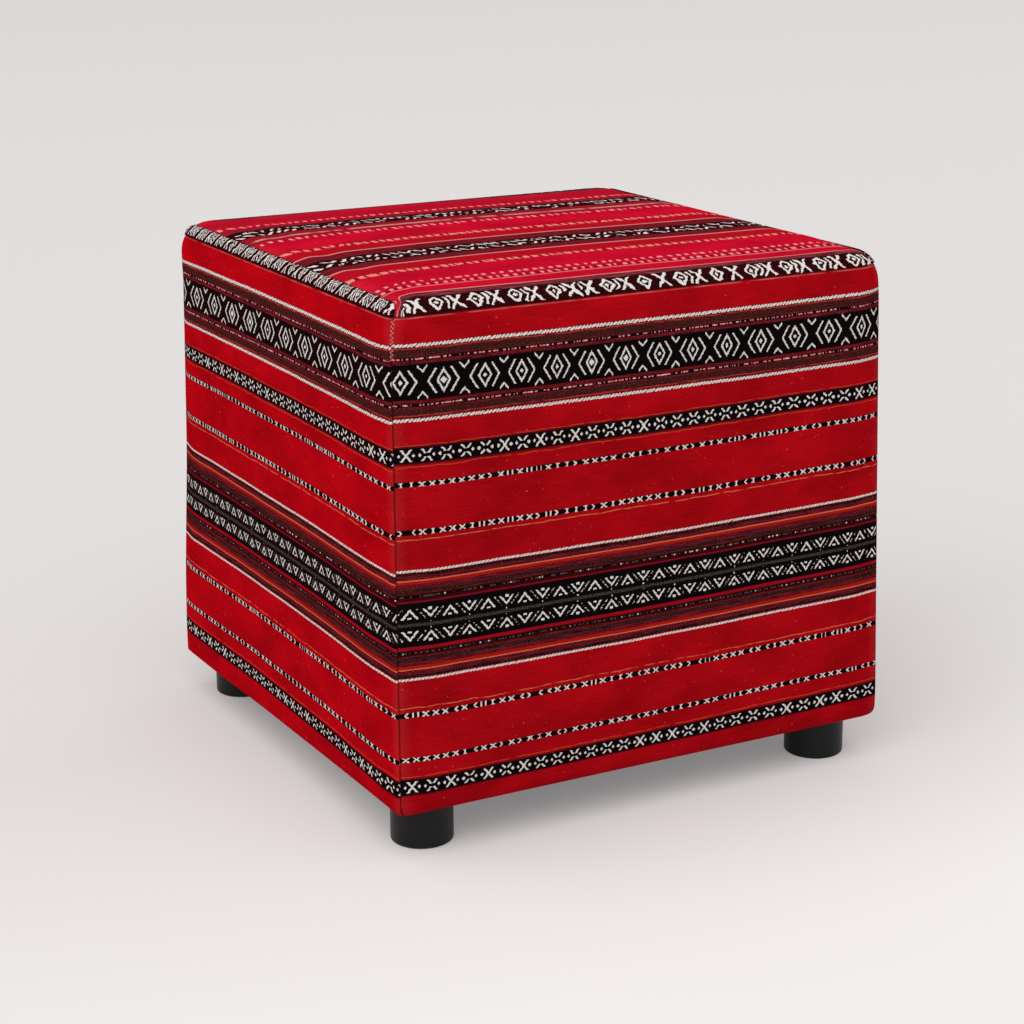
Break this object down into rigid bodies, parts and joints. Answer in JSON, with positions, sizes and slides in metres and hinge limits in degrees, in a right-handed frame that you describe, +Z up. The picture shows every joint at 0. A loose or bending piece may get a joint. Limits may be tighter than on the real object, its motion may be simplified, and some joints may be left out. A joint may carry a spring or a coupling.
{
  "type": "square upholstered ottoman",
  "caption": "Cube-shaped padded ottoman in red folk-striped woven cloth with black motif bands, crowned seat with sewn borders, wooden box inside and short round black feet.",
  "frame": {"origin": "centre of the footprint on the floor", "axes": "+Z up, the front faces -Y, left is -X and right is +X"},
  "size_m": [0.45, 0.45, 0.44],
  "materials": {
    "cover_cloth": "striped twill weave",
    "wadding": "polyester fleece",
    "foam": "cut polyurethane foam",
    "plywood": "raw sanded",
    "pine": "planed",
    "felt": "thin non-woven",
    "black_plastic": "satin moulded",
    "steel": "zinc plated"
  },
  "bodies": {
    "root": {"top_cover": "cover_cloth", "border_strip_left": "cover_cloth", "border_strip_right": "cover_cloth", "side_cover_front": "cover_cloth", "side_cover_right": "cover_cloth", "side_cover_back": "cover_cloth", "side_cover_left": "cover_cloth", "seat_wadding": "wadding", "side_wadding_front": "wadding", "side_wadding_right": "wadding", "side_wadding_back": "wadding", "side_wadding_left": "wadding", "seat_foam": "foam", "deck_board": "plywood", "frame_panel_front": "plywood", "frame_panel_right": "plywood", "frame_panel_back": "plywood", "frame_panel_left": "plywood", "corner_post_front_left": "pine", "corner_post_front_right": "pine", "corner_post_back_left": "pine", "corner_post_back_right": "pine", "base_board": "plywood", "dust_cover": "felt", "leg_front_left": "black_plastic", "leg_front_right": "black_plastic", "leg_back_left": "black_plastic", "leg_back_right": "black_plastic", "leg_screws": "steel", "panel_screws": "steel", "deck_screws": "steel", "base_screws": "steel", "cover_staples": "steel", "dust_cover_staples": "steel"}
  },
  "joints": []
}
